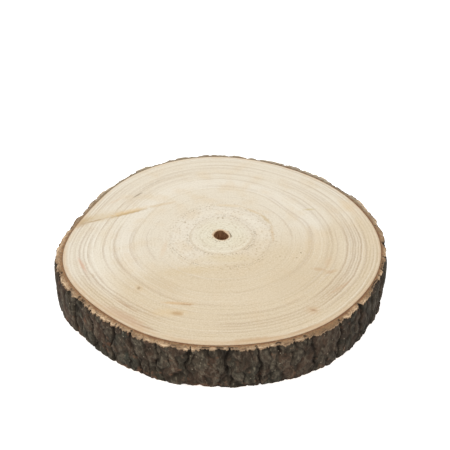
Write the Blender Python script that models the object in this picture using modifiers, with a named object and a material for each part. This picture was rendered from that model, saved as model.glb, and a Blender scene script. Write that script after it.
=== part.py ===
# A wood slice: a disc sawn across a small trunk, with its bark still on.
# Two solids: the disc of wood, with the hollow pith right through it, and the ring of bark round it.
# Blender 4.5. Metres, +Z up, +Y towards the back of the slice. The slice lies flat on Z = 0.

import math

import bpy
import numpy as np

# Driving dimensions, in metres: the real slice's own.
THICKNESS = 0.040
WOOD_RADIUS = 0.133
PITH_RADIUS = 0.0065
PITH_PLACE = (-0.0015, 0.0083)

# The trunk wasn't round. Each lobe: how many go round the trunk, their height, the direction of one crest.
TRUNK_LOBES = (
    (1, 0.0013, math.radians(-78)),
    (2, 0.0005, math.radians(-86)),
    (3, 0.0022, math.radians(-24)),
    (4, 0.0017, math.radians(14)),
    (5, 0.0008, math.radians(-26)),
    (6, 0.0006, math.radians(8)),
    (7, 0.0005, math.radians(-12)),
)
PITH_LOBES = (
    (2, 0.00060, math.radians(-58)),
    (3, 0.00030, math.radians(-29)),
    (4, 0.00015, math.radians(-1)),
)
# Puts the middle of the finished slice's box on the Z axis.
SLICE_SHIFT = (0.0009, -0.0015)

# The bark: how far it stands out from the wood, and how its sawn edges fall away outwards. The upper
# rim stops short of the bark's full depth, and the weathered side rounds out below it.
CAMBIUM_GAP = 0.0003
BARK_AT_RIM = 0.0060
BARK_LOBES = (
    (1, 0.0009, math.radians(93)),
    (2, 0.0005, math.radians(56)),
    (3, 0.0006, math.radians(57)),
    (4, 0.0005, math.radians(32)),
)
BARK_BULGE = 0.0008
TOP_RIM_SHARE = 0.86
TOP_RIM_DROP = 0.0018
TOP_ROUNDING = 0.0034
BOTTOM_RIM_RISE = 0.0015

# The bark's plates are cells, each with a scattered seed and a furrow along its border. Cracks split
# the broad plates into small ones. "squeeze" shortens heights before the nearest seed is found, which
# makes the plates taller than wide; "scatter" is a share of the pitch, and "lift" is up or down. A
# furrow is deepest where it runs up the trunk; "level_share" is what is left of it where it lies level.
BROAD_PLATES = {
    "around": 36,
    "row_pitch": 0.062,
    "squeeze": 0.36,
    "scatter": 0.36,
    "lift": 0.0006,
    "furrow_depth": 0.0022,
    "furrow_half_width": 0.0013,
    "level_share": 0.30,
    "seed": 11,
}
SMALL_PLATES = {
    "around": 92,
    "row_pitch": 0.017,
    "squeeze": 0.55,
    "scatter": 0.40,
    "lift": 0.0003,
    "furrow_depth": 0.0007,
    "furrow_half_width": 0.0009,
    "level_share": 0.50,
    "seed": 12,
}
PLATE_CROWN = 0.0005

# The relief is shallower under the sawn upper rim, by this share, which is larger at the back than at
# the front by twice the second number. What the rim keeps stands out a little.
RIM_SHALLOWING = 0.35
RIM_SHALLOWING_SWAY = 0.30
RIM_STANDS_OUT = 0.0004

# The furrows wander. Each wave: its cycles round the trunk, its cycles per metre of height, its sway.
WANDER_WAVES = (
    (23, 31.0, 0.0010),
    (41, -61.0, 0.0007),
    (67, 97.0, 0.0004),
)

# How finely the solids are faceted.
COLUMNS_AROUND = 448
WALL_ROWS = 8
OUTLINE_POINTS = 192
PITH_POINTS = 28

WOOD_COLOUR = (0.78, 0.68, 0.51)
BARK_COLOUR = (0.066, 0.050, 0.038)


def lobed(radius, lobes, angle):
    """A circle's radius at this angle, with the cosine wave of each lobe added."""
    waves = (height * np.cos(count * (angle - crest)) for count, height, crest in lobes)
    return radius + sum(waves)


def angles_round(count):
    return np.linspace(0, 2 * math.pi, count, endpoint=False)


def ring_of_points(centre, radius, angle):
    """Points of a closed outline about a centre, moved by the slice's shift."""
    x = centre[0] + SLICE_SHIFT[0] + radius * np.cos(angle)
    y = centre[1] + SLICE_SHIFT[1] + radius * np.sin(angle)
    return np.column_stack([x, y])


def plate_seeds(plates):
    """One seed for each plate: its distance round the trunk, its squeezed height, and its plate's lift."""
    random = np.random.default_rng(plates["seed"])
    rows = np.arange(-1, math.ceil(THICKNESS / plates["row_pitch"]) + 1) + 0.5
    columns = np.arange(plates["around"])
    grid = (len(columns), len(rows))
    scatter = random.uniform(-plates["scatter"], plates["scatter"], (2, *grid))
    lift = random.uniform(-plates["lift"], plates["lift"], grid)
    stagger = 0.5 * (np.arange(len(rows)) % 2)
    along = (columns[:, None] + stagger + scatter[0]) * 2 * math.pi * WOOD_RADIUS / plates["around"]
    height = (rows + scatter[1]) * plates["row_pitch"] * plates["squeeze"]
    return along.ravel(), height.ravel(), lift.ravel()


def plate_relief(plates, along, height):
    """How high each point stands on its plate: the plate's lift and crown, less the furrow at its border.

    A point's plate is the one with the nearest seed. The distance to the border is exact: it is
    measured to the line midway between the two nearest seeds.
    """
    seed_along, seed_height, lift = plate_seeds(plates)
    circumference = 2 * math.pi * WOOD_RADIUS
    apart = along.reshape(-1, 1) - seed_along
    apart = (apart + circumference / 2) % circumference - circumference / 2
    up = height.reshape(-1, 1) * plates["squeeze"] - seed_height
    distance = np.hypot(apart, up)
    order = np.argsort(distance, axis=1)[:, :2]
    point = np.arange(len(order))
    nearest = distance[point, order[:, 0]]
    second = distance[point, order[:, 1]]
    across = apart[point, order[:, 0]] - apart[point, order[:, 1]]
    upward = up[point, order[:, 0]] - up[point, order[:, 1]]
    between = np.hypot(across, upward)
    to_border = (second**2 - nearest**2) / (2 * between)
    steepness = plates["level_share"] + (1 - plates["level_share"]) * (across / between) ** 2
    furrow = steepness * np.exp(-((to_border / plates["furrow_half_width"]) ** 2))
    relief = lift[order[:, 0]] * (1 - furrow) - plates["furrow_depth"] * furrow
    return relief.reshape(along.shape), to_border.reshape(along.shape)


def bark_relief(angle, height):
    """How far the weathered bark stands out at each point.

    Both kinds of plate are added, the broad ones crowned, and the relief flattens under the upper rim.
    """
    along = angle * WOOD_RADIUS
    for count, cycles, sway in WANDER_WAVES:
        along = along + sway * np.sin(count * angle + 2 * math.pi * cycles * height)
    broad, to_border = plate_relief(BROAD_PLATES, along, height)
    small, _ = plate_relief(SMALL_PLATES, along, height)
    crown = PLATE_CROWN * np.tanh(to_border / (3 * BROAD_PLATES["furrow_half_width"]))
    below_rim = (THICKNESS - TOP_RIM_DROP - height) / TOP_ROUNDING
    near_rim = 1 - np.clip(below_rim, 0, 1)
    shallowing = near_rim * (RIM_SHALLOWING + RIM_SHALLOWING_SWAY * np.sin(angle))
    return (broad + small + crown) * (1 - shallowing) + RIM_STANDS_OUT * shallowing


def bark_section():
    """The ring's cross-section, point by point: (share of the way out through the bark, height).

    It runs down the weathered side, in under the base, up the wood's side and out over the sawn top.
    """
    top_edge = THICKNESS - TOP_RIM_DROP
    wall = [(1.0, z) for z in np.linspace(top_edge - TOP_ROUNDING, BOTTOM_RIM_RISE, WALL_ROWS)]
    sawn_base = [(0.5, 0.4 * BOTTOM_RIM_RISE), (0.0, 0.0)]
    sawn_top = [(0.0, THICKNESS), (0.5 * TOP_RIM_SHARE, THICKNESS - 0.4 * TOP_RIM_DROP)]
    return [(TOP_RIM_SHARE, top_edge)] + wall + sawn_base + sawn_top


def plain_material(name, colour, roughness):
    material = bpy.data.materials.new(name)
    material.use_nodes = True
    shader = material.node_tree.nodes["Principled BSDF"]
    shader.inputs["Base Color"].default_value = (*colour, 1.0)
    shader.inputs["Roughness"].default_value = roughness
    shader.inputs["Metallic"].default_value = 0.0
    material.diffuse_color = (*colour, 1.0)
    return material


def closed_spline(curve, points):
    spline = curve.splines.new("POLY")
    spline.points.add(len(points) - 1)
    for spot, (x, y) in zip(spline.points, points):
        spot.co = (x, y, 0.0, 1.0)
    spline.use_cyclic_u = True


def make_wood(collection):
    """The disc: the trunk's outline and the hollow pith as one flat curve, extruded to the thickness."""
    curve = bpy.data.curves.new("wood", "CURVE")
    curve.dimensions = "2D"
    curve.fill_mode = "BOTH"
    curve.extrude = THICKNESS / 2
    angle = angles_round(OUTLINE_POINTS)
    closed_spline(curve, ring_of_points((0, 0), lobed(WOOD_RADIUS, TRUNK_LOBES, angle), angle))
    angle = angles_round(PITH_POINTS)
    closed_spline(curve, ring_of_points(PITH_PLACE, lobed(PITH_RADIUS, PITH_LOBES, angle), angle))
    curve.materials.append(plain_material("sawn_wood", WOOD_COLOUR, 0.6))
    wood = bpy.data.objects.new("wood", curve)
    wood.location.z = THICKNESS / 2
    collection.objects.link(wood)
    return wood


def turned_ring():
    """A plain round ring with the bark's cross-section, turned about the Z axis."""
    section = bark_section()
    corners = [(WOOD_RADIUS + share * BARK_AT_RIM, 0.0, height) for share, height in section]
    edges = [(i, (i + 1) % len(corners)) for i in range(len(corners))]
    profile = bpy.data.meshes.new("bark_section")
    profile.from_pydata(corners, edges, [])
    ring = bpy.data.objects.new("turned_ring", profile)
    bpy.context.scene.collection.objects.link(ring)
    screw = ring.modifiers.new("turn", "SCREW")
    screw.steps = screw.render_steps = COLUMNS_AROUND
    screw.use_merge_vertices = True
    screw.merge_threshold = 0.00001
    turned = bpy.data.meshes.new_from_object(ring.evaluated_get(bpy.context.evaluated_depsgraph_get()))
    bpy.data.objects.remove(ring, do_unlink=True)
    return turned


def make_bark(collection):
    """The ring, fitted to the trunk's outline, with plates and furrows raised on its weathered side."""
    mesh = turned_ring()
    mesh.name = "bark"
    points = np.empty(len(mesh.vertices) * 3, np.float32)
    mesh.vertices.foreach_get("co", points)
    x, y, height = points.reshape(-1, 3).astype(float).T
    angle = np.arctan2(y, x)
    share = (np.hypot(x, y) - WOOD_RADIUS) / BARK_AT_RIM
    inner = lobed(WOOD_RADIUS, TRUNK_LOBES, angle) + CAMBIUM_GAP
    bulge = BARK_BULGE * (1 - (2 * height / THICKNESS - 1) ** 2)
    depth_of_bark = lobed(BARK_AT_RIM, BARK_LOBES, angle) + bulge + bark_relief(angle, height)
    flat = ring_of_points((0, 0), inner + share * depth_of_bark, angle)
    fitted = np.column_stack([flat, height]).astype(np.float32)
    mesh.vertices.foreach_set("co", fitted.ravel())
    mesh.update()
    mesh.shade_smooth()
    mesh.set_sharp_from_angle(angle=math.radians(50))
    mesh.materials.append(plain_material("weathered_bark", BARK_COLOUR, 0.85))
    bark = bpy.data.objects.new("bark", mesh)
    collection.objects.link(bark)
    return bark


def make_slice():
    for old in list(bpy.data.objects):
        bpy.data.objects.remove(old, do_unlink=True)
    collection = bpy.data.collections.new("wood_slice")
    bpy.context.scene.collection.children.link(collection)
    make_wood(collection)
    make_bark(collection)


make_slice()
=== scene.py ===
import math
from functools import partial

import bpy
import numpy as np
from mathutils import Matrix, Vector


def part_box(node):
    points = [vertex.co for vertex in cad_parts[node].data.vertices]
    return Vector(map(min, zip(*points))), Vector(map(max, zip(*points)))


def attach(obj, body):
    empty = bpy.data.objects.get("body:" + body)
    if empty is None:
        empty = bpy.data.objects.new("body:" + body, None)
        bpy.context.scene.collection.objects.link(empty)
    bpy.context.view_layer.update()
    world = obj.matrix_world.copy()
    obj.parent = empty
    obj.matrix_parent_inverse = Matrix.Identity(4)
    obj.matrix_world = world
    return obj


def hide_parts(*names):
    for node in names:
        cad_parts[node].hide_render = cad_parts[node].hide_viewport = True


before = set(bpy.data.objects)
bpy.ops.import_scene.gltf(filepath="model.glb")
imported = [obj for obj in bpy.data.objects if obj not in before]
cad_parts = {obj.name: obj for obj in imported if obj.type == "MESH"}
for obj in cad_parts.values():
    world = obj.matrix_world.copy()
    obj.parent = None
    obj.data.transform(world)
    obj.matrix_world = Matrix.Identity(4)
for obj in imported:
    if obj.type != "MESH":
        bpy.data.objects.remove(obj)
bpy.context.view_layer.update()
print("wood slice: frame loaded")

mm = 0.001

# The trunk that the slice was sawn from, in millimetres, the same as in the solids.
# A lobe is (how many go round, height, direction of one crest in degrees).
trunk = {
    "thickness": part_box("wood")[1][2] / mm,
    "middle": (0.9, -1.5),
    "woodRadius": 133.0,
    "woodLobes": ((1, 1.3, -78), (2, 0.5, -86), (3, 2.2, -24), (4, 1.7, 14), (5, 0.8, -26),
                  (6, 0.6, 8), (7, 0.5, -12)),
    "pithRadius": 6.5,
    "pithPlace": (-1.5, 8.3),
    "pithLobes": ((2, 0.60, -58), (3, 0.30, -29), (4, 0.15, -1)),
    "barkAtRim": 6.0,
    "barkLobes": ((1, 0.9, 93), (2, 0.5, 56), (3, 0.6, 57), (4, 0.5, 32)),
    "barkBulge": 0.8,
}


def lobed(radius, lobes, angle):
    # a circle's radius at each angle, plus one cosine wave for each lobe
    for count, height, crest in lobes:
        radius = radius + height * np.cos(count * (angle - math.radians(crest)))
    return radius


def smoothStep(low, high, value):
    # 0 below low, 1 above high, and 3t^2 - 2t^3 in between
    t = np.clip((value - low) / (high - low), 0, 1)
    return t * t * (3 - 2 * t)


def softNoise(around, along, size, seed):
    # Value noise on a grid of seeded random numbers: each point mixes its four grid neighbours
    # with smooth weights. The first parameter, in whole turns, wraps round; the second goes from
    # 0 to 1; size is the grid's (columns, rows).
    columns, rows = size
    grid = np.random.default_rng(seed).uniform(-1, 1, (columns, rows + 2))
    u = around * columns
    v = np.clip(along, 0, 1) * rows
    i, j = np.floor(u).astype(int), np.floor(v).astype(int)
    s, t = smoothStep(0, 1, u - i), smoothStep(0, 1, v - j)
    i0, i1 = i % columns, (i + 1) % columns
    near = grid[i0, j] * (1 - t) + grid[i0, j + 1] * t
    far = grid[i1, j] * (1 - t) + grid[i1, j + 1] * t
    return near * (1 - s) + far * s


def layeredNoise(around, along, size, seed, layers, fade=0.5):
    # the sum of softNoise at doubling fineness, each layer weaker than the last
    total = 0
    for layer in range(layers):
        grid = (size[0] * 2**layer, size[1] * 2**layer)
        total = total + fade**layer * softNoise(around, along, grid, seed + layer)
    return total


def tubeSurface(name, points, attributes, materials, rowMaterial):
    # A closed surface from a grid of points (rows of the section, columns round the trunk): the
    # rows close on themselves, and so do the columns, so it has no pole and no open seam.
    rows, columns, _ = points.shape
    mesh = bpy.data.meshes.new(name)
    index = np.arange(rows * columns).reshape(rows, columns)
    below = np.roll(index, -1, axis=0)
    across, belowAcross = np.roll(index, -1, axis=1), np.roll(below, -1, axis=1)
    corners = np.stack([index, across, belowAcross, below], axis=-1)
    mesh.vertices.add(rows * columns)
    mesh.vertices.foreach_set("co", (points * mm).astype(np.float32).ravel())
    mesh.loops.add(corners.size)
    mesh.loops.foreach_set("vertex_index", corners.ravel())
    mesh.polygons.add(rows * columns)
    mesh.polygons.foreach_set("loop_start", np.arange(0, corners.size, 4))
    mesh.polygons.foreach_set("material_index", np.repeat(rowMaterial, columns))
    mesh.update(calc_edges=True)
    mesh.validate()
    mesh.shade_smooth()
    for material in materials:
        mesh.materials.append(material)
    for key, values in attributes.items():
        layer = mesh.attributes.new(key, "FLOAT", "POINT")
        layer.data.foreach_set("value", values.astype(np.float32).ravel())
    piece = bpy.data.objects.new(name, mesh)
    bpy.context.scene.collection.objects.link(piece)
    print("wood slice:", name, len(mesh.polygons) * 2, "triangles")
    return piece


def linear(hexColour):
    # An sRGB colour written as six hex digits, as linear red, green, blue and alpha: a channel c
    # is c / 12.92 where it is nearly black, and ((c + 0.055) / 1.055) to the power 2.4 elsewhere.
    channels = [int(hexColour[i:i + 2], 16) / 255 for i in (0, 2, 4)]
    return [c / 12.92 if c <= 0.04045 else ((c + 0.055) / 1.055) ** 2.4 for c in channels] + [1.0]


def addNode(tree, kind, inputs=(), output=0, **settings):
    # Adds a node, sets its own settings, and fills its inputs, given in order or by name, from
    # numbers, colours or other sockets. Gives back one of its outputs.
    node = tree.nodes.new("ShaderNode" + kind)
    for key, value in settings.items():
        setattr(node, key, value)
    for key, value in inputs.items() if isinstance(inputs, dict) else enumerate(inputs):
        if isinstance(value, bpy.types.NodeSocket):
            tree.links.new(value, node.inputs[key])
        else:
            node.inputs[key].default_value = value
    return node.outputs[output]


def newMaterial(name, roughness, specular):
    # a dull surface that doesn't conduct: wood, cork and paper all have an IOR of about 1.5
    material = bpy.data.materials.new(name)
    material.use_nodes = True
    tree = material.node_tree
    shader = tree.nodes["Principled BSDF"]
    shader.inputs["Roughness"].default_value = roughness
    shader.inputs["Specular IOR Level"].default_value = specular
    shader.inputs["IOR"].default_value = 1.5
    return material, tree


# settings that many nodes share: one colour laid over another, a smooth step between two values,
# how far a point lies along a direction, a product, and a product plus a third value
paint = {"output": 2, "data_type": "RGBA"}
soft = {"interpolation_type": "SMOOTHSTEP"}
dot = {"output": "Value", "operation": "DOT_PRODUCT"}
times = {"operation": "MULTIPLY"}
timesPlus = {"operation": "MULTIPLY_ADD"}


def finishMaterial(tree, colour, coats, height, strength, depth):
    # Lays the coats over the colour in their order, each (amount, tint), gives the result to the
    # shader, and bumps the surface by a height, with a strength and a depth in metres.
    for amount, tint in coats:
        tint = linear(tint) if isinstance(tint, str) else tint
        colour = addNode(tree, "Mix", {0: amount, 6: colour, 7: tint}, **paint)
    bump = addNode(tree, "Bump", {"Height": height, "Strength": strength, "Distance": depth})
    shader = tree.nodes["Principled BSDF"]
    tree.links.new(colour, shader.inputs["Base Color"])
    tree.links.new(bump, shader.inputs["Normal"])


# The noises that shape the wood and the bark: columns round the trunk and rows along the other
# way, seed, layers.
trunkNoises = {
    "ringWander": ((7, 9), 14, 3),
    "faceWaves": ((9, 6), 24, 3),
    "pithPockets": ((26, 5), 34, 3),
    "rim": ((52, 1), 57, 3),
    "chips": ((90, 1), 50, 3),
    "baseChips": ((120, 1), 55, 3),
    "fray": ((420, 20), 60, 2),
    "grain": ((380, 14), 70, 3),
    "crag": ((125, 4), 90, 3),
    "swell": ((34, 3), 100, 2),
    "steps": ((95, 1), 59, 2),
    "waves": ((115, 1), 63, 3),
    "sawnGrain": ((700, 6), 80, 2),
}


def trunkNoise(key, turn, along=0.5):
    # the named noise, at a share of a turn and a share of the way along
    size, seed, layers = trunkNoises[key]
    return layeredNoise(turn, along, size, seed, layers)


# The sawn wood. Lengths are in millimetres and directions in degrees. ringRadii is how far out
# each year's growth ended; on the flat side the middle years grew less.
sawnFace = {
    "columns": 440,
    "fineRowsAtPith": 16,
    "fineZone": 4.8,
    "rows": 104,
    "sideRows": 5,
    "undersideRows": 60,
    "pithRows": 22,
    "ringRadii": (6.5, 27.5, 44, 60, 77, 91, 101, 108, 113, 117.5, 121, 124.5, 127.5, 130.5,
                  133.6, 137, 141),
    "flatSide": {"direction": 37, "spread": 20, "radius": 74, "width": 12, "depth": 6.5},
    "ringWander": 1.0,
    "earlyWoodDip": 0.05,
    "unevenness": 0.06,
    "undersideShare": 0.8,
    "crack": {"direction": 6, "spread": 22, "lean": 0.02, "fromPith": 2.1, "sway": 0.25,
              "width": 0.35, "depth": 1.1, "fullness": 1.6},
    "wornLip": {"depth": 0.5, "width": 0.45},
    "pithPockets": 0.28,
}


def growthPoint(growth, angle):
    # Where the trunk's surface was at each stage of growth, 0 at the pith and 1 at the cambium: a
    # circle whose middle moves from the pith to the trunk's, and whose lobes turn from the pith's
    # to the trunk's own.
    radius = trunk["pithRadius"] + (trunk["woodRadius"] - trunk["pithRadius"]) * growth
    radius = radius + (1 - growth) ** 6 * lobed(0, trunk["pithLobes"], angle)
    radius = radius + growth**1.5 * lobed(0, trunk["woodLobes"], angle)
    drift = 1 - growth**1.6
    x = trunk["middle"][0] + trunk["pithPlace"][0] * drift + radius * np.cos(angle)
    y = trunk["middle"][1] + trunk["pithPlace"][1] * drift + radius * np.sin(angle)
    return x, y


def makeWood(materials):
    # The disc as one closed grid: its rows go out over the top, down the side, in over the
    # underside and up the pith's wall. A point lies at growthPoint(growth, angle), and at its
    # row's height less the dips of the sanded face: the early wood, slow waves, the crack and the
    # pith's worn lip.
    face = sawnFace
    thickness = trunk["thickness"]
    span = trunk["woodRadius"] - trunk["pithRadius"]
    angle = np.linspace(0, 2 * math.pi, face["columns"], endpoint=False)
    fineEnd = face["fineZone"] / span
    fine = np.linspace(0, fineEnd, face["fineRowsAtPith"], endpoint=False)
    top = np.concatenate([fine, np.linspace(fineEnd, 1, face["rows"])])
    side = np.linspace(thickness, 0, face["sideRows"] + 2)[1:-1]
    under = np.linspace(1, 0, face["undersideRows"])
    wall = np.linspace(0, thickness, face["pithRows"] + 2)[1:-1]
    growth = np.concatenate([top, np.ones(len(side)), under, np.zeros(len(wall))])
    height = np.concatenate([np.full(len(top), thickness), side, np.zeros(len(under)), wall])
    counts = [len(rows) for rows in (top, side, under, wall)]
    part = np.repeat(["top", "side", "under", "wall"], counts)
    isTop, isUnder, isWall = [(part == key)[:, None] for key in ("top", "under", "wall")]
    g, a = np.meshgrid(growth, angle, indexing="ij")
    z = np.repeat(height[:, None], len(angle), axis=1)
    x, y = growthPoint(g, a)
    turn = a / (2 * math.pi)
    radius = trunk["pithRadius"] + span * g

    # the rings wander a little from the trunk's outline, most in the middle years
    wander = face["ringWander"] * trunkNoise("ringWander", turn, g) * np.sin(math.pi * g)
    flat = face["flatSide"]
    inward = sum(
        np.exp(-((np.degrees(a) - fullTurn - flat["direction"]) / flat["spread"]) ** 2
               - ((radius - flat["radius"]) / flat["width"]) ** 2)
        for fullTurn in (0, 360)
    )
    ringRadius = radius + wander + flat["depth"] * inward
    edges = np.array(face["ringRadii"])
    age = np.interp(ringRadius, edges, np.arange(len(edges)))
    widths = np.append(np.diff(edges), np.diff(edges)[-1])
    ringWidth = np.interp(ringRadius, edges + 0.5 * widths, widths)

    # the sanded faces: late wood stands a hair proud, and the whole face isn't quite flat
    inRing = age - np.floor(age)
    waves = np.clip(1 + trunkNoise("faceWaves", turn, g), 0, 2)
    dip = face["earlyWoodDip"] * (1 - inRing**2) + face["unevenness"] * waves
    # a crescent crack beside the pith, and the pith's worn lip
    fromPith = radius - trunk["pithRadius"]
    split, lip = face["crack"], face["wornLip"]
    leaning = np.degrees(a + split["lean"] * fromPith)
    beside = sum(
        np.exp(-((direction - split["direction"]) / split["spread"]) ** 2)
        for direction in (leaning, np.degrees(a) - 360)
    )
    crack = (fromPith - split["fromPith"] - split["sway"] * np.sin(3 * a)) / split["width"]
    crack = np.exp(-(crack**2)) * np.clip(beside * split["fullness"], 0, 1)
    worn = lip["depth"] * np.exp(-fromPith / lip["width"])
    z = np.where(isTop, z - dip - split["depth"] * crack - worn, z)
    z = np.where(isUnder, z + dip * face["undersideShare"] + worn, z)

    # the hollow pith's wall has upright grain and shallow pockets, but is true at its ends
    up = np.clip(z / thickness, 0, 1)
    pocket = face["pithPockets"] * trunkNoise("pithPockets", turn, up)
    pocket = pocket * np.sin(math.pi * up) ** 0.3
    x = np.where(isWall, x + pocket * np.cos(a), x)
    y = np.where(isWall, y + pocket * np.sin(a), y)

    attributes = {
        "age": age,
        "ringWidth": ringWidth,
        "ringRadius": ringRadius,
        "growth": g,
        "fromPith": fromPith,
        "crack": np.where(isTop, crack, 0),
    }
    points = np.stack([x, y, z], axis=-1)
    return tubeSurface("woodDisc", points, attributes, materials, (part == "wall").astype(int))


# The bark's plates, as in the solids, and the finer scales that only show close by. around is how
# many go round, rowPitch and lift are in millimetres, and squeeze makes plates stand tall.
broadPlates = {"around": 36, "rowPitch": 62, "squeeze": 0.36, "scatter": 0.36, "lift": 0.6,
               "levelDepth": 0.3, "seed": 11}
smallPlates = {"around": 92, "rowPitch": 17, "squeeze": 0.55, "scatter": 0.40, "lift": 0.45,
               "levelDepth": 0.5, "seed": 12}
scales = {"around": 260, "rowPitch": 5.5, "squeeze": 0.60, "scatter": 0.42, "lift": 0.2,
          "levelDepth": 0.8, "seed": 31}
# a furrow's share of its full depth, by the shades of the two plates beside it
furrowDepth = {"mean": 0.85, "byShade": 0.35, "least": 0.4, "most": 1.25}
# the furrows' sideways waves: how many go round, cycles a millimetre of height, size in mm
wanderWaves = ((23, 0.031, 1.0), (41, -0.061, 0.7), (67, 0.097, 0.4))

# The bark, in millimetres. A furrow is (depth, width), and a reach is from where to where below
# the saw cut. The rim is the sawn part of the bark's depth, as a share of it.
barkRing = {
    "columns": 1400,
    "sawnRows": 9,
    "wallRows": 46,
    "baseRows": 4,
    "innerRows": 2,
    "lastSawnRow": 0.985,
    "gapToWood": 0.12,
    "rim": {"share": 0.81, "sway": 0.10, "narrowest": 1.4, "wider": 0.22,
            "widestAt": -0.2, "most": 0.97},
    "sawnFall": {"start": 0.15, "whole": 1.35, "chipped": 1.44, "power": 1.25},
    "baseFall": {"whole": 0.6, "chipped": 1.8, "power": 1.5},
    "innerDrop": 0.3,
    "topRounding": 3.4,
    "fray": 0.55,
    "broadFurrow": (2.7, 1.0),
    "smallFurrow": (1.2, 0.6),
    "scaleFurrow": (0.35, 0.35),
    "crown": (0.5, 4.8),
    "grain": 0.16,
    "crag": 0.7,
    "cragSlant": 0.00015,
    "swell": 0.7,
    "crest": (0.2, 0.8),
    "setBack": 0.15,
    "middling": 0.4,
    "wornTop": {"kept": 0.2, "reach": (0.3, 2.5)},
    "shallowTop": {"mean": 0.35, "back": 0.30, "reach": (0, 5)},
    "shallowBase": {"most": 0.40, "reach": (0, 7)},
    "brokenLip": {"step": 1.4, "stepAt": (0.12, 0.24), "wave": 0.9, "waveEnds": (-0.4, 1),
                  "reach": (0.5, 4.0)},
    "sawnRoughness": 0.12,
}


def shorterWay(distance):
    # a distance round the trunk, taken the shorter way: from minus to plus half the way round
    circumference = 2 * math.pi * trunk["woodRadius"]
    return (distance + circumference / 2) % circumference - circumference / 2


def plateCells(plates, along, height):
    # Each point's plate is the one whose seed is nearest, with heights squeezed so that plates
    # stand tall. Gives the plate's own lift and a random shade, the exact distance to the plate's
    # border, and how deep that border's furrow is.
    random = np.random.default_rng(plates["seed"])
    rows = np.arange(-1, math.ceil(trunk["thickness"] / plates["rowPitch"]) + 1) + 0.5
    columns = np.arange(plates["around"])
    grid = (len(columns), len(rows))
    scatter = random.uniform(-plates["scatter"], plates["scatter"], (2, *grid))
    lift = random.uniform(-plates["lift"], plates["lift"], grid).ravel()
    shade = random.uniform(-1, 1, grid).ravel()
    columnPitch = 2 * math.pi * trunk["woodRadius"] / plates["around"]
    stagger = 0.5 * (np.arange(len(rows)) % 2)
    seedAlong = ((columns[:, None] + stagger + scatter[0]) * columnPitch).ravel()
    seedHeight = ((rows + scatter[1]) * plates["rowPitch"] * plates["squeeze"]).ravel()
    nearest = np.full(along.shape, np.inf)
    second = np.full(along.shape, np.inf)
    owner = np.zeros(along.shape, int)
    other = np.zeros(along.shape, int)
    for i in range(len(seedAlong)):
        apart = shorterWay(along - seedAlong[i])
        distance = np.hypot(apart, height * plates["squeeze"] - seedHeight[i])
        first = distance < nearest
        runnerUp = ~first & (distance < second)
        second = np.where(first, nearest, np.where(runnerUp, distance, second))
        other = np.where(first, owner, np.where(runnerUp, i, other))
        nearest = np.where(first, distance, nearest)
        owner = np.where(first, i, owner)
    across = shorterWay(seedAlong[owner] - seedAlong[other])
    between = np.maximum(np.hypot(across, seedHeight[owner] - seedHeight[other]), 1e-6)
    toBorder = (second**2 - nearest**2) / (2 * between)
    # each border's furrow has a depth of its own: shallow where it lies level, deep where it runs
    # up the trunk, and more or less by its two plates' shades
    level = plates["levelDepth"]
    depth = level + (1 - level) * (across / between) ** 2
    byShade = furrowDepth["mean"] + furrowDepth["byShade"] * (shade[owner] + shade[other])
    depth = depth * np.clip(byShade, furrowDepth["least"], furrowDepth["most"])
    return lift[owner], shade[owner], toBorder, depth


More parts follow.
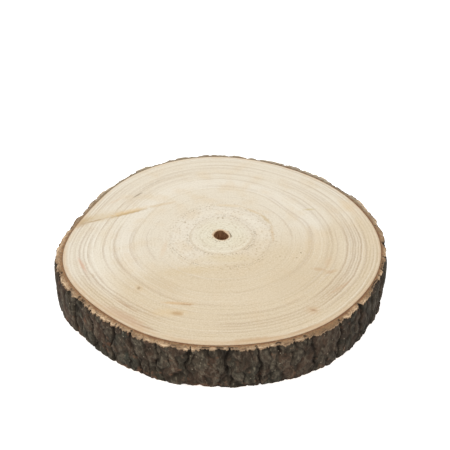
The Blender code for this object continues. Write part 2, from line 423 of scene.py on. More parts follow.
def makeBark(materials):
    # The ring as one closed grid: its rows go out over the sawn top, down the weathered side, in
    # under the base and up the inside. A point lies at the wood's outline plus a share of the
    # bark's depth there, which is the lobed depth, the belly between the saw cuts and the relief.
    ring = barkRing
    thickness = trunk["thickness"]
    angle = np.linspace(0, 2 * math.pi, ring["columns"], endpoint=False)
    counts = [ring[key] for key in ("sawnRows", "wallRows", "baseRows", "innerRows")]
    sawnRows, wallRows, baseRows, innerRows = counts
    part = np.repeat(["top", "wall", "base", "inner"], counts)
    isTop, isWall, isBase, isInner = [
        (part == key)[:, None] for key in ("top", "wall", "base", "inner")
    ]
    share = np.concatenate([
        np.linspace(0, ring["lastSawnRow"], sawnRows),
        np.ones(wallRows),
        np.linspace(ring["lastSawnRow"], 0, baseRows),
        np.zeros(innerRows),
    ])
    down = np.concatenate([
        np.zeros(sawnRows),
        np.linspace(0, 1, wallRows),
        np.ones(baseRows + innerRows),
    ])
    s, a = np.meshgrid(share, angle, indexing="ij")
    d = np.repeat(down[:, None], len(angle), axis=1)
    turn = a / (2 * math.pi)

    # the sawn rim is narrower in some places than in others, and widest at the right
    rim, sawnFall, baseFall = ring["rim"], ring["sawnFall"], ring["baseFall"]
    rimShare = rim["share"] + rim["sway"] * trunkNoise("rim", turn)
    rimShare = np.clip(rimShare, rim["share"] - rim["narrowest"] * rim["sway"],
                       rim["share"] + rim["sway"])
    widening = rim["wider"] * np.clip(np.cos(a - rim["widestAt"]), 0, 1) ** 5
    rimShare = np.minimum(rimShare + widening, rim["most"])
    # it falls away outwards to a rounded lip, and both its lip and the base's are chipped
    chips = np.clip(trunkNoise("chips", turn), 0, 1)
    topDrop = sawnFall["whole"] + sawnFall["chipped"] * chips
    baseChips = np.clip(trunkNoise("baseChips", turn), 0, 1)
    bottomRise = baseFall["whole"] + baseFall["chipped"] * baseChips
    z = (thickness - topDrop) * (1 - d) + bottomRise * d
    belowRim = np.clip((thickness - topDrop - z) / ring["topRounding"], 0, 1)
    fall = sawnFall["start"] + (topDrop - sawnFall["start"]) * s ** sawnFall["power"]
    z = np.where(isTop, thickness - fall, z)
    s = np.where(isWall, rimShare + (1 - rimShare) * np.sqrt(1 - (1 - belowRim) ** 2), s)
    s = np.where(isTop, s * rimShare, s)
    z = np.where(isBase, bottomRise * s ** baseFall["power"], z)
    climb = np.cumsum(part == "inner") / (innerRows + 1)
    z = np.where(isInner, climb[:, None] * (thickness - ring["innerDrop"]), z)

    # plates, small plates and scales, with a furrow along each border
    up = z / thickness
    along = a * trunk["woodRadius"]
    for count, cycles, sway in wanderWaves:
        along = along + sway * np.sin(count * a + 2 * math.pi * cycles * z)
    fray = ring["fray"] * trunkNoise("fray", turn, up)
    liftBroad, shadeBroad, toBroad, deepBroad = plateCells(broadPlates, along + fray, z)
    liftSmall, shadeSmall, toSmall, deepSmall = plateCells(smallPlates, along + fray, z)
    liftScale, shadeScale, toScale, deepScale = plateCells(scales, along + 2 * fray, z)
    broad = deepBroad * np.exp(-((toBroad / ring["broadFurrow"][1]) ** 2))
    small = deepSmall * np.exp(-((toSmall / ring["smallFurrow"][1]) ** 2))
    fine = deepScale * np.exp(-((toScale / ring["scaleFurrow"][1]) ** 2))
    # slightly slanting crags, the sharp crests of a noise that is folded at zero
    crag = 0.5 - np.abs(trunkNoise("crag", turn + ring["cragSlant"] * z, up))
    crown, crownWidth = ring["crown"]
    coarse = (
        liftBroad * (1 - broad) - ring["broadFurrow"][0] * broad
        + liftSmall * (1 - small) - ring["smallFurrow"][0] * small
        + crown * np.tanh(toBroad / crownWidth)
    )
    delicate = (
        liftScale * (1 - fine) - ring["scaleFurrow"][0] * fine
        + ring["grain"] * trunkNoise("grain", turn, up) + ring["crag"] * crag
    )
    # under the saw cut the fine relief is worn off; the furrows are shallower there, most of all
    # at the back, and near the base, where the relief tends to a middling height instead
    fromTop = thickness - topDrop - z
    worn, lip = ring["wornTop"], ring["brokenLip"]
    shallowTop, shallowBase = ring["shallowTop"], ring["shallowBase"]
    kept = worn["kept"] + (1 - worn["kept"]) * smoothStep(*worn["reach"], fromTop)
    relief = coarse + kept * delicate
    shallow = 1 - smoothStep(*shallowTop["reach"], fromTop)
    shallow = shallow * (shallowTop["mean"] + shallowTop["back"] * np.sin(a))
    nearBase = shallowBase["most"] * (1 - smoothStep(*shallowBase["reach"], z - bottomRise))
    shallow = np.maximum(shallow, nearBase)
    relief = relief * (1 - shallow) + ring["middling"] * shallow
    relief = relief + ring["swell"] * trunkNoise("swell", turn, up) - ring["setBack"]
    # the highest crests are pressed down, to stay within the solid's height
    high, most = ring["crest"]
    pressed = high + (most - high) * np.tanh((relief - high) / (most - high))
    relief = np.where(relief > high, pressed, relief)
    # steps and waves are broken out of the lip
    steps = lip["step"] * smoothStep(*lip["stepAt"], trunkNoise("steps", turn))
    waves = lip["wave"] * np.clip(trunkNoise("waves", turn), *lip["waveEnds"])
    relief = relief - (1 - smoothStep(*lip["reach"], fromTop)) * (steps + waves)
    bulge = trunk["barkBulge"] * (1 - (2 * up - 1) ** 2)
    depth = lobed(trunk["barkAtRim"], trunk["barkLobes"], a) + bulge + relief
    radius = lobed(trunk["woodRadius"], trunk["woodLobes"], a) + ring["gapToWood"] + s * depth
    # the sawn face is rough: saw fibres and crumbled pores
    sawnGrain = ring["sawnRoughness"] * np.abs(trunkNoise("sawnGrain", turn, s))
    z = np.where(isTop, z - sawnGrain * np.sin(math.pi * np.clip(s, 0, 1)), z)

    x = trunk["middle"][0] + radius * np.cos(a)
    y = trunk["middle"][1] + radius * np.sin(a)
    attributes = {
        "across": np.where(isTop, s / rimShare, s),
        "furrow": np.clip(broad + small, 0, 1),
        "fineFurrow": fine,
        "shadeBroad": shadeBroad,
        "shadeSmall": 0.6 * shadeSmall + 0.4 * shadeScale,
        "relief": relief,
        "crag": crag,
        "fromTop": fromTop,
    }
    # the row of faces that turns over the lip belongs to the weathered side
    isSawn = (np.arange(len(part)) < sawnRows - 1) | np.isin(part, ("base", "inner"))
    points = np.stack([x, y, z], axis=-1)
    return tubeSurface("barkRing", points, attributes, materials, isSawn.astype(int))


# The growth lines that stand out. Each sector: its direction and half its width in degrees, then
# its lines, each (radius, half width, strength), in millimetres.
ringSectors = (
    (188, 26, ((64, 2.4, 0.18), (78.3, 2.0, 0.24), (92, 1.7, 0.30), (100, 1.4, 0.16),
               (111, 1.3, 0.24), (115.5, 1.2, 0.40), (119, 1.5, 0.48), (123, 1.0, 0.20),
               (127.5, 1.0, 0.20))),
    (224, 26, ((92, 1.8, 0.12), (111.8, 1.3, 0.35), (115, 1.5, 0.45), (119.4, 1.0, 0.32),
               (122, 0.9, 0.32), (124.6, 0.9, 0.28), (127.3, 0.9, 0.28), (130, 0.9, 0.25))),
    (126, 26, ((98, 2.4, 0.20), (104.5, 2.4, 0.26), (110.5, 2.2, 0.20), (119, 1.2, 0.17),
               (124, 1.2, 0.17))),
    (84, 22, ((80, 2.2, 0.17), (92, 2.0, 0.17), (101, 1.8, 0.18), (110.5, 1.6, 0.18),
              (117, 1.4, 0.17))),
    (30, 34, ((61, 1.6, 0.20), (79, 2.0, 0.26), (94.5, 1.4, 0.26), (104.5, 1.2, 0.30),
              (108, 1.0, 0.28), (110.5, 1.0, 0.28), (117, 1.0, 0.22))),
    (-18, 36, ((77.5, 1.6, 0.24), (94, 1.3, 0.28), (98.5, 1.0, 0.28), (106, 1.4, 0.58),
               (108.6, 0.9, 0.36), (110.8, 1.1, 0.52), (113, 0.9, 0.42), (115, 0.9, 0.42),
               (117.2, 1.2, 0.62), (121.4, 1.0, 0.45))),
    (-70, 26, ((101, 1.8, 0.26), (106, 1.2, 0.22), (111, 1.2, 0.42), (114, 1.1, 0.38),
               (117, 1.0, 0.30), (120, 1.0, 0.22))),
)

# Pale and dark rings in the heart: direction and half width in degrees, radius and half width in
# millimetres, colour, strength.
heartRings = (
    (275, 115, 24.3, 2.6, "E6E1D0", 0.34),
    (195, 60, 19.0, 2.2, "A08C6C", 0.20),
    (25, 75, 30.0, 2.8, "A08C6C", 0.15),
    (205, 60, 27.8, 1.8, "A08C6C", 0.16),
    (60, 90, 36.0, 3.2, "E6E1D0", 0.12),
    (100, 80, 40.0, 1.6, "A08C6C", 0.14),
)

# What marks the sawn face: (x, y) from the trunk's middle, direction in degrees, half length and
# half width in millimetres, colour, strength.
faceMarks = (
    # the scar of a branch, from the bark inwards
    ((-126, 26), 40, 13, 7, "A58A66", 0.80),
    ((-112, 33), 18, 25, 8, "BCA680", 0.52),
    ((-84, 41), 24, 21, 2.0, "8C7146", 0.66),
    ((-84, 43), 24, 22, 4.0, "C8A66C", 0.50),
    ((-113, 29), 24, 15, 1.2, "94744A", 0.55),
    ((-56, 54), 20, 18, 2.4, "B99C70", 0.40),
    # a short dark crack in the grain, and ripples beside it
    ((-77, 70), 48, 6.5, 1.0, "7D705B", 0.75),
    ((-97, 60), 40, 12, 2.0, "C3A585", 0.28),
    ((-62, 91), 42, 16, 1.1, "A99F8C", 0.40),
    # small knots
    ((-68, -65), 90, 7, 5, "C0A47C", 0.32),
    ((-68, -64.5), 80, 2.6, 1.6, "846A48", 0.60),
    ((71, -92), 0, 7, 6, "B89772", 0.40),
    ((72, -92), -15, 3.6, 1.6, "957250", 0.50),
    # brown streaks along the grain
    ((-36, -83.5), -4, 16, 2.2, "BE9766", 0.50),
    ((-29, -85), -8, 7, 0.9, "8F6437", 0.60),
    ((-42, -95), 0, 19, 6, "CBB084", 0.38),
    ((-36, -96), -10, 6, 3.2, "A27D4E", 0.60),
    ((-117, -34), -65, 14, 1.8, "C39378", 0.45),
    ((-77, -86), -42, 14, 1.5, "9B7654", 0.45),
    ((-60, -112), -27, 12, 1.3, "8F6D48", 0.45),
    ((92, -66), 47, 14, 1.2, "B28D6A", 0.40),
    ((98, -62), 50, 13, 1.0, "B28D6A", 0.40),
    # stains next to the bark at the front
    ((24, -127), 9, 26, 3.4, "AC8A62", 0.55),
    ((62, -116), 28, 20, 2.0, "A27C56", 0.48),
    ((-76, -101), -38, 28, 6.0, "B39173", 0.55),
    ((113, 52), -62, 17, 7.0, "C6AA80", 0.38),
    # a forked mark and a smudge
    ((79, -39.5), -10, 7, 2.8, "B28F69", 0.45),
    ((89, -43), 15, 7, 3.0, "B28F69", 0.45),
    ((88, -30), 75, 11, 3.4, "C2A482", 0.32),
    ((77, 47), 4, 6, 2.0, "B3A06C", 0.50),
    # darker wood beyond the pale heart, and a smear beside the pith
    ((2, -25), 0, 27, 7, "C6B48C", 0.32),
    ((-24, -41), 8, 32, 7, "C0A87C", 0.28),
    ((4.5, 13.4), -40, 2.6, 1.4, "A5845A", 0.55),
    ((5, 53), -5, 15, 2.6, "C4AA7E", 0.38),
    ((27, 44), -36, 10, 2.0, "BFA57A", 0.50),
    ((38, 32), -60, 10, 2.4, "B39A6E", 0.55),
    ((43, 10), -88, 16, 1.8, "BDA078", 0.40),
    ((74, -4), 85, 22, 5, "BFA680", 0.22),
    ((-50, -12), 80, 14, 3, "C7AE8F", 0.35),
    ((62, -52), 50, 40, 20, "B5A283", 0.26),
    ((-48, -61), -38, 24, 9, "B5A283", 0.32),
    # single pores, filled dark
    ((66, -17), 0, 1.1, 0.9, "7A6647", 0.80),
    ((62, -24), 0, 0.9, 0.9, "857252", 0.70),
    ((48, -22), 0, 1.0, 0.8, "8A7757", 0.60),
    ((0, 33.5), 0, 1.0, 1.4, "857252", 0.70),
    ((-4, 34), 0, 1.3, 1.1, "857252", 0.65),
    ((-33, 27), 0, 1.0, 1.4, "8A7554", 0.50),
    ((27, 13), 0, 1.0, 1.3, "8A7757", 0.60),
)


# The sawn wood's colours, and its patterns in cells or waves a metre, with the size each gives.
woodTones = {
    "back": "D2C9B8",
    "front": "C8B89D",
    "sides": "DED8CA",
    "patches": "CBB798",
    "years": "C0AE8E",
    "lateWood": "9C8468",
    "drawnLines": "967B60",
    "pauses": "A3906F",
    "spurts": "DAD3C4",
    "ripples": "A08C6C",
    "heart": "D3CFB8",
    "pores": "7C6A50",
    "faintPores": "987C54",
    "darkFlecks": "8E7B60",
    "paleFlecks": "E4DDCE",
    "halo": "C09A70",
    "crack": "5E4A30",
    "lastYears": "C0A483",
}
woodPatterns = {
    "broadTone": 17,  # 59 mm
    "patches": 55,  # 18 mm
    "lastYears": 120,  # 8 mm
    "wobble": 260,  # 3.8 mm
    "ragged": 300,  # 3.3 mm
    "faintPores": 340,  # 2.9 mm apart
    "pores": 560,  # 1.8 mm apart
    "flecks": 780,  # 1.3 mm
    "grain": 900,  # 1.1 mm
}


def inSector(add, outward, direction, halfWidth, core):
    # 1 in the core of a sector round the pith, falling softly to 0 at its sides, by the cosine of
    # the angle between the way out and the sector's direction
    towards = (math.cos(math.radians(direction)), math.sin(math.radians(direction)), 0)
    cosine = add("VectorMath", (outward, towards), **dot)
    edge, full = math.cos(math.radians(halfWidth)), math.cos(math.radians(core * halfWidth))
    return add("MapRange", (cosine, edge, full), **soft)


def makeSawnWood():
    # Bare, fine-sawn and sanded pale hardwood: matt cream, with tan rings where growth slowed
    # each year and grey-brown pores, warmer away from the pale side.
    material, tree = newMaterial("sawnWood", 0.62, 0.25)
    add = partial(addNode, tree)
    tone = woodTones
    place = add("TexCoord", output="Object")
    age, width, radius, growth, fromPith, crack = [
        add("Attribute", output="Fac", attribute_name=key)
        for key in ("age", "ringWidth", "ringRadius", "growth", "fromPith", "crack")
    ]
    broadTone, patchTone, wobble, ragged, blotch, flecks, grain = [
        add("TexNoise", {"Vector": place, "Scale": woodPatterns[key], "Detail": detail})
        for key, detail in (("broadTone", 2), ("patches", 3), ("wobble", 2), ("ragged", 3),
                            ("lastYears", 4), ("flecks", 2), ("grain", 3))
    ]

    # paler and greyer to the back and the left, tan to the front and the right, in patches
    slant = add("VectorMath", (place, (350, -1000, 0)), **dot)
    slant = add("Math", (broadTone, 90, slant), **timesPlus)
    slant = add("MapRange", (slant, 30, 90), **soft)
    ends = {6: linear(tone["back"]), 7: linear(tone["front"])}
    colour = add("Mix", {0: slant, **ends}, **paint)
    coats = []
    # the young wood at the two sides is paler, most of all at the left
    leftward = add("VectorMath", (place, (-1000, -200, 0)), **dot)
    rightward = add("VectorMath", (place, (1000, 0, 0)), **dot)
    leftward = add("MapRange", (leftward, 86, 112, 0, 0.55), **soft)
    rightward = add("MapRange", (rightward, 92, 112, 0, 0.36), **soft)
    sides = add("Math", (leftward, rightward), operation="MAXIMUM")
    within = add("MapRange", (radius, 124, 114), **soft)
    sides = add("Math", (sides, within), **times)
    coats.append((sides, tone["sides"]))
    patches = add("MapRange", (patchTone, 0.45, 0.75, 0, 0.45), **soft)
    coats.append((patches, tone["patches"]))

    # a random number for each year, and one for each year in each direction
    year = add("Math", (age,), operation="FLOOR")
    yearShade = add("TexWhiteNoise", {"W": year}, "Value", noise_dimensions="1D")
    outward = add("VectorMath", (place, (1, 1, 0)), **times)
    outward = add("VectorMath", (outward,), operation="NORMALIZE")
    turned = add("Math", (year, 3.7), **times)
    turned = add("CombineXYZ", {"Z": turned})
    turned = add("VectorMath", (outward, turned), operation="ADD")
    share = add("TexNoise", {"Vector": turned, "Scale": 1.3, "Detail": 2})
    share = add("MapRange", (share, 0.40, 0.66, 0.04, 1.0), **soft)
    # rings show best to the left and the right
    sideways = add("VectorMath", (outward, (1, 0, 0)), **dot)
    sideways = add("Math", (sideways,), operation="ABSOLUTE")
    sideways = add("MapRange", (sideways, 0.2, 0.9, 0.7, 1.05), **soft)
    share = add("Math", (share, sideways), **times)
    yearTone = add("Math", (yearShade, 0.22), **times)
    coats.append((yearTone, tone["years"]))

    # the late wood of a year: a soft tan band 3 mm wide that ends in a line 1 mm wide
    inRing = add("Math", (age,), operation="FRACT")
    toEdge = add("Math", (1.0, inRing), operation="SUBTRACT")
    toEdge = add("Math", (toEdge, width), **times)
    wobble = add("Math", (patchTone, 2.4, wobble), **timesPlus)
    toEdge = add("Math", (wobble, 0.9, toEdge), **timesPlus)
    toEdge = add("Math", (toEdge, 1.08), operation="SUBTRACT")
    bold = add("MapRange", (radius, 66, 112, 0.08, 0.26), **soft)
    line = add("MapRange", (toEdge, 0.4, 1.7, bold, 0), **soft)
    band = add("MapRange", (toEdge, 0.4, 3.6, 0.22, 0), **soft)
    line = add("Math", (line, band), operation="ADD")
    line = add("Math", (line, share), **times)
    coats.append((line, tone["lateWood"]))

    # the lines that stand out, sector by sector, on colour ramps from 40 to 135 mm; the wobble
    # adds 1.5 mm to the radius on average, which the ramps make up for
    rampStart, rampSpan, shift = 40, 95, 1.5
    wobbly = add("Math", (wobble, 0.9, radius), **timesPlus)
    wobbly = add("MapRange", (wobbly, rampStart + shift, rampStart + rampSpan + shift))
    for direction, halfWidth, lines in ringSectors:
        inside = inSector(add, outward, direction, halfWidth, 0.55)
        drawnLine = add("ValToRGB", (wobbly,))
        stops = drawnLine.node.color_ramp.elements
        stops[0].color = stops[1].color = (0, 0, 0, 1)
        for middle, half, strength in lines:
            for reach, grey in ((-half, 0), (0, strength), (half, 0)):
                stop = stops.new((middle + reach - rampStart) / rampSpan)
                stop.color = (grey, grey, grey, 1)
        drawnLine = add("Math", (drawnLine, inside), **times)
        coats.append((drawnLine, tone["drawnLines"]))

    # fainter lines in the years, 2 to 4 mm apart, where growth paused, with pale ones between
    pauses = add("Math", (wobble, 1.2, radius), **timesPlus)
    pauses = add("TexNoise", {"W": pauses, "Scale": 0.55, "Detail": 3}, noise_dimensions="1D")
    outer = add("MapRange", (radius, 55, 105, 0.45, 0.85), **soft)
    dark = add("MapRange", (pauses, 0.50, 0.72, 0, 0.50), **soft)
    dark = add("Math", (dark, patchTone), **times)
    dark = add("Math", (dark, outer), **times)
    coats.append((dark, tone["pauses"]))
    pale = add("MapRange", (pauses, 0.30, 0.46, 0.35, 0), **soft)
    pale = add("Math", (pale, share), **times)
    coats.append((pale, tone["spurts"]))

    # the heart's rings, and ripples 3 mm apart round the pith
    heartRadius = add("Math", (wobble, 0.25, radius), **timesPlus)
    for direction, halfWidth, middle, half, tint, strength in heartRings:
        inside = inSector(add, outward, direction, halfWidth, 0.5)
        fromRing = add("Math", (heartRadius, middle), operation="SUBTRACT")
        fromRing = add("Math", (fromRing,), operation="ABSOLUTE")
        fromRing = add("MapRange", (fromRing, 0, half, strength, 0), **soft)
        inside = add("Math", (inside, fromRing), **times)
        coats.append((inside, tint))
    ripples = add("Math", (heartRadius, 2.1), **times)
    ripples = add("Math", (ripples,), operation="SINE")
    nearPith = add("MapRange", (radius, 36, 14, 0, 0.50), **soft)
    nearPith = add("Math", (nearPith, patchTone), **times)
    ripples = add("Math", (ripples, nearPith), **times)
    coats.append((ripples, tone["ripples"]))

    # the first years' wood is paler; a pore is a dark speck, drawn 1.2 mm wide so that it shows
    heart = add("MapRange", (radius, 14, 30, 0.45, 0), **soft)
    coats.append((heart, tone["heart"]))
    pores, faintPores = [
        add("TexVoronoi", {"Vector": place, "Scale": woodPatterns[key]}, "Distance")
        for key in ("pores", "faintPores")
    ]
    pores = add("MapRange", (pores, 0.20, 0.46, 0.85, 0), **soft)
    early = add("MapRange", (inRing, 0.0, 0.35, 1, 0.15), **soft)
    young = add("MapRange", (radius, 22, 70, 1.0, 0.15), **soft)
    patchy = add("MapRange", (patchTone, 0.38, 0.54, 0.25, 1), **soft)
    for limit in (early, young, patchy):
        pores = add("Math", (pores, limit), **times)
    coats.append((pores, tone["pores"]))
    # sparser, fainter pores all through the heart, but not next to the pith
    faintPores = add("MapRange", (faintPores, 0.05, 0.42, 0.42, 0), **soft)
    young = add("MapRange", (radius, 42, 62, 1, 0), **soft)
    beyond = add("MapRange", (radius, 12, 18), **soft)
    for limit in (young, beyond):
        faintPores = add("Math", (faintPores, limit), **times)
    coats.append((faintPores, tone["faintPores"]))

    # the grain itself: fine dark and pale flecks, drawn 1.3 mm long so that they show
    for key, end, strength in (("darkFlecks", 0.30, 0.15), ("paleFlecks", 0.70, 0.20)):
        amount = add("MapRange", (flecks, 0.50, end, 0, strength))
        coats.append((amount, tone[key]))

    # knots, streaks and the branch scar, on the upper side only; a mark is a ragged ellipsoid
    markDepth = 8
    for (x, y), direction, halfLength, halfWidth, tint, strength in faceMarks:
        centre = (trunk["middle"][0] + x, trunk["middle"][1] + y, trunk["thickness"])
        centre = [length * mm for length in centre]
        turnedBy = (0, 0, math.radians(direction))
        size = [length * mm for length in (halfLength, halfWidth, markDepth)]
        inside = add("Mapping", (place, centre, turnedBy, size), vector_type="TEXTURE")
        inside = add("VectorMath", (inside,), "Value", operation="LENGTH")
        inside = add("Math", (ragged, 0.9, inside), **timesPlus)
        inside = add("MapRange", (inside, 0.65, 1.65, strength, 0), **soft)
        coats.append((inside, tint))

    # a tan halo round the hollow pith, and the crack beside it
    halo = add("MapRange", (fromPith, 0.2, 2.6, 0.65, 0), **soft)
    coats.append((halo, tone["halo"]))
    coats.append((crack, tone["crack"]))
    # the last years' wood is tan next to the bark, in a zone that is widest at the front
    forward = add("VectorMath", (outward, (-0.3, -0.95, 0)), **dot)
    last = add("MapRange", (forward, 0.2, 0.95, 0.987, 0.967))
    last = add("Math", (growth, last), operation="SUBTRACT")
    last = add("MapRange", (last, -0.014, 0.014, 0, 1), **soft)
    blotch = add("MapRange", (blotch, 0.35, 0.65, 0.25, 0.75))
    last = add("Math", (last, blotch), **times)
    coats.append((last, tone["lastYears"]))

    # sanding marks and open grain
    height = add("Math", (pores, -0.6, grain), **timesPlus)
    finishMaterial(tree, colour, coats, height, 0.25, 0.0003)
    return material


def makePithWall():
    # The wall of the hollow pith: dry brown pith tissue over the first wood, dull and darker at
    # its lip. Its grain stands upright, 1.4 mm wide and 6 mm tall.
    material, tree = newMaterial("pithWall", 0.9, 0.1)
    add = partial(addNode, tree)
    place = add("TexCoord", output="Object")
    upright = add("Mapping", {"Vector": place, "Scale": (1, 1, 0.25)})
    grain = add("TexNoise", {"Vector": upright, "Scale": 700, "Detail": 4})
    mixed = add("MapRange", (grain, 0.35, 0.65), **soft)
    colour = add("Mix", {0: mixed, 6: linear("8E6546"), 7: linear("BA8F6A")}, **paint)
    height = add("VectorMath", (place, (0, 0, 1000)), **dot)
    lip = add("MapRange", (height, 33, 39, 0, 0.6), **soft)
    finishMaterial(tree, colour, [(lip, "5E4129")], grain, 0.6, 0.0005)
    return material


# The weathered bark's coats of colour, one over another: what carries each, from which value to
# which it changes, its strength at both, and its colour.
barkCoats = (
    ("shadeBroad", (-0.1, 0.9), (0, 0.70), "31342C"),  # greenish plates
    ("shadeBroad", (0.1, -0.9), (0, 0.35), "241E17"),  # dim plates
    ("shadeSmall", (0.6, -0.7), (0, 0.58), "4C3629"),  # reddish plates
    ("crag", (0.15, 0.5), (0, 0.45), "655C4E"),  # crests worn paler, partly a painted highlight
    ("crag", (-0.5, 0.0), (0.45, 0), "261F17"),  # painted shade in the hollows between them
    ("flakes", (0.54, 0.72), (0, 0.55), "766C5B"),  # pale flakes, 2 mm
    ("flakes", (0.30, 0.45), (0.7, 0), "261E16"),  # the gaps between them
    ("pits", (0.32, 0.44), (0.4, 0), "201912"),  # pits, 1.1 mm
    ("relief", (-2.4, -0.2), (0.6, 0), "1C1610"),  # painted shade where the relief lies deep
)


def makeWeatheredBark():
    # Weathered outer bark: dull charcoal brown cork, greyer on the plates' tops, partly worn and
    # partly a painted highlight, almost black in the furrows and hollows, which is painted shade,
    # and darker on the right, also painted shade, with reddish chips, pale specks and a torn tan
    # edge under the saw cut.
    material, tree = newMaterial("weatheredBark", 0.92, 0.15)
    add = partial(addNode, tree)
    place = add("TexCoord", output="Object")
    upright = add("Mapping", {"Vector": place, "Scale": (1, 1, 0.45)})
    carrier = {
        key: add("Attribute", output="Fac", attribute_name=key)
        for key in ("furrow", "fineFurrow", "shadeBroad", "shadeSmall", "relief", "crag",
                    "fromTop")
    }
    flakes = {"Vector": upright, "Scale": 480, "Detail": 5, "Roughness": 0.6}
    carrier["flakes"] = add("TexNoise", flakes)
    carrier["pits"] = add("TexNoise", {"Vector": place, "Scale": 900, "Detail": 3})
    blotch = add("TexNoise", {"Vector": upright, "Scale": 90, "Detail": 4})
    rust = add("TexNoise", {"Vector": place, "Scale": 150, "Detail": 2})
    specks = add("TexVoronoi", {"Vector": place, "Scale": 260}, "Distance")

    # blotches 11 mm wide, the coats over them, and dark furrows, which are painted shade
    mixed = add("MapRange", (blotch, 0.35, 0.65), **soft)
    colour = add("Mix", {0: mixed, 6: linear("352F26"), 7: linear("484135")}, **paint)
    coats = []
    for key, values, strengths, tint in barkCoats:
        amount = add("MapRange", (carrier[key], *values, *strengths), **soft)
        coats.append((amount, tint))
    # painted shade along the furrows and the fine furrows
    for key, strength, tint in (("furrow", 0.7, "17110B"), ("fineFurrow", 0.55, "211A12")):
        amount = add("Math", (carrier[key], strength), **times)
        coats.append((amount, tint))
    # reddish chips, 7 mm wide, more of them towards the base
    low = add("MapRange", (carrier["fromTop"], 18, 38, 0, 0.05), **soft)
    chips = add("Math", (rust, low), operation="ADD")
    chips = add("MapRange", (chips, 0.62, 0.76, 0, 0.55), **soft)
    coats.append((chips, "684A38"))
    # painted shade: darker on the right, the side turned away from the soft box
    right = add("VectorMath", (place, (1000, 0, 0)), **dot)
    right = add("MapRange", (right, 30, 110, 0, 0.42), **soft)
    coats.append((right, "1D1812"))
    # pale specks of lichen in some of the blotches, and the torn tan edge
    specks = add("MapRange", (specks, 0.08, 0.20, 0.6, 0), **soft)
    lichen = add("MapRange", (blotch, 0.50, 0.60), **soft)
    specks = add("Math", (specks, lichen), **times)
    coats.append((specks, "988B79"))
    torn = add("Math", (carrier["flakes"], -5.0, carrier["fromTop"]), **timesPlus)
    torn = add("MapRange", (torn, -2.2, -1.5, 0.8, 0), **soft)
    coats.append((torn, "A08468"))
    finishMaterial(tree, colour, coats, carrier["flakes"], 0.8, 0.0009)
    return material


def makeSawnBark():
    # Freshly sawn bark: fibrous brown inner bark beyond a dark line at the cambium, then paler
    # pinkish cork under the weathered skin, greyer towards the back.
    material, tree = newMaterial("sawnBark", 0.85, 0.15)
    add = partial(addNode, tree)
    place = add("TexCoord", output="Object")
    across, relief = [
        add("Attribute", output="Fac", attribute_name=key) for key in ("across", "relief")
    ]
    # ragged borders 4 mm long, patches 22 mm wide, fibres 1.6 mm apart, a slow change in 33 mm
    ragged, patches, fibre, broad = [
        add("TexNoise", {"Vector": place, "Scale": scale, "Detail": detail})
        for scale, detail in ((260, 3), (45, 3), (640, 4), (30, 1))
    ]
    shift = add("Math", (ragged, 0.5), operation="SUBTRACT")
    moved = add("Math", (shift, 0.9, across), **timesPlus)
    outer = add("MapRange", (moved, 0.33, 0.62), **soft)
    # greyer towards the back
    outward = add("VectorMath", (place, (1, 1, 0)), **times)
    outward = add("VectorMath", (outward,), operation="NORMALIZE")
    back = add("VectorMath", (outward, (0, 1, 0)), **dot)
    back = add("MapRange", (back, -0.15, 0.85, 0, 0.95), **soft)
    cork = add("MapRange", (patches, 0.38, 0.62), **soft)
    cork = add("Mix", {0: cork, 6: linear("83684B"), 7: linear("B39575")}, **paint)
    cork = add("Mix", {0: back, 6: cork, 7: linear("A69C8C")}, **paint)
    inner = add("Mix", {0: back, 6: linear("8C6B4B"), 7: linear("84795F")}, **paint)
    colour = add("Mix", {0: outer, 6: inner, 7: cork}, **paint)
    coats = []
    fibres = add("MapRange", (fibre, 0.36, 0.58, 0.65, 0), **soft)
    coats.append((fibres, "6A5643"))
    # the line at the cambium comes and goes, and is darkest on the right
    right = add("VectorMath", (outward, (1, -0.5, 0)), **dot)
    right = add("Math", (broad, 1.5, right), **timesPlus)
    right = add("MapRange", (right, -0.6, 0.9, 0.1, 1), **soft)
    line = add("MapRange", (moved, 0.05, 0.34, 0.85, 0), **soft)
    line = add("Math", (line, right), **times)
    coats.append((line, "724F37"))
    # the rounded lip is painted pale in some places, a painted highlight, and dark in others, and
    # its furrows are dark
    pale = add("MapRange", (patches, 0.44, 0.54), **soft)
    lip = add("Mix", {0: pale, 6: linear("5A4636"), 7: linear("D6BD9C")}, **paint)
    edge = add("MapRange", (moved, 0.80, 0.94, 0, 0.7), **soft)
    coats.append((edge, lip))
    deep = add("MapRange", (relief, -2.4, -0.9, 0.9, 0), **soft)
    outside = add("MapRange", (moved, 0.35, 0.7), **soft)
    deep = add("Math", (deep, outside), **times)
    coats.append((deep, "3A2B1E"))
    finishMaterial(tree, colour, coats, fibre, 0.6, 0.0005)
    return material


# The picture: the photograph's camera, by its focal length, place and framing. The distance and
# the lens are in millimetres, the elevation is in degrees, the shifts are shares of the picture's
# width, and what is nearer or further than the last two, in metres, isn't drawn.
picture = {
    "distance": 931.0,
    "elevation": 36.5,
    "focalLength": 86.9,
    "sensor": 36.0,
    "shiftX": 2.25 / 450,
    "shiftY": 15.65 / 450,
    "nearest": 0.05,
    "furthest": 20,
}


def makeCamera():
    # The camera looks at the middle of the sawn top: it stands at the aim plus the distance along
    # a line that rises backwards by the elevation.
    lens = bpy.data.cameras.new("photoCamera")
    lens.lens = picture["focalLength"]
    lens.sensor_width = picture["sensor"]
    lens.shift_x = picture["shiftX"]
    lens.shift_y = picture["shiftY"]
    lens.clip_start, lens.clip_end = picture["nearest"], picture["furthest"]
    camera = bpy.data.objects.new("photoCamera", lens)
    aim = Vector((*trunk["middle"], trunk["thickness"])) * mm
    tilt = math.radians(picture["elevation"])
    back = Vector((0, -math.cos(tilt), math.sin(tilt)))
    camera.location = aim + back * picture["distance"] * mm
    camera.rotation_euler = (-back).to_track_quat("-Z", "Y").to_euler()
    bpy.context.scene.collection.objects.link(camera)
    bpy.context.scene.camera = camera


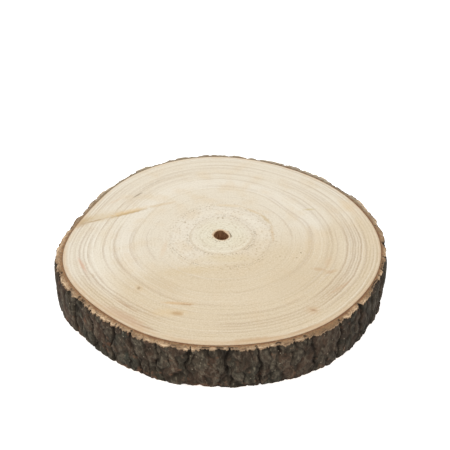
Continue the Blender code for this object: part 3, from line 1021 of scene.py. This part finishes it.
# The studio: a white floor under a soft white dome, and one big soft box. Sizes in metres.
studio = {
    "floorWidth": 12.0,
    "floorColour": "F7F7F6",
    "domeColour": "FFFFFF",
    "floorGlow": 0.60,
    "domeStrength": 1.1,
    "softBox": {"place": (-0.9, 0.7, 1.7), "size": 1.8, "power": 12.0},
}


def makeStudio():
    # A square floor in the plane that the slice stands on, a dome of even light, and a square
    # lamp that faces the slice from its place.
    mesh = bpy.data.meshes.new("studioFloor")
    half = studio["floorWidth"] / 2
    corners = [(-half, -half, 0), (half, -half, 0), (half, half, 0), (-half, half, 0)]
    mesh.from_pydata(corners, [], [(0, 1, 2, 3)])
    floor = bpy.data.objects.new("studioFloor", mesh)
    bpy.context.scene.collection.objects.link(floor)
    # a roll of matt white background paper: almost white, with no shine
    material, tree = newMaterial("backgroundPaper", 0.95, 0.0)
    shader = tree.nodes["Principled BSDF"]
    shader.inputs["Base Color"].default_value = linear(studio["floorColour"])
    shader.inputs["Emission Color"].default_value = linear(studio["domeColour"])
    shader.inputs["Emission Strength"].default_value = studio["floorGlow"]
    mesh.materials.append(material)
    world = bpy.data.worlds.new("softDome")
    bpy.context.scene.world = world
    world.use_nodes = True
    sky = world.node_tree.nodes["Background"]
    sky.inputs["Color"].default_value = linear(studio["domeColour"])
    sky.inputs["Strength"].default_value = studio["domeStrength"]
    box = studio["softBox"]
    light = bpy.data.lights.new("softBox", "AREA")
    light.energy = box["power"]
    light.size = box["size"]
    lamp = bpy.data.objects.new("softBox", light)
    lamp.location = box["place"]
    lamp.rotation_euler = (-Vector(box["place"])).to_track_quat("-Z", "Y").to_euler()
    bpy.context.scene.collection.objects.link(lamp)
    bpy.context.scene.view_settings.view_transform = "Standard"


makeCamera()
makeStudio()
print("wood slice: camera and studio made")

woodDisc = makeWood([makeSawnWood(), makePithWall()])
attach(woodDisc, "root")
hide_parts("wood")

barkPiece = makeBark([makeWeatheredBark(), makeSawnBark()])
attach(barkPiece, "root")
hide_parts("bark")
print("wood slice: wood and bark made")
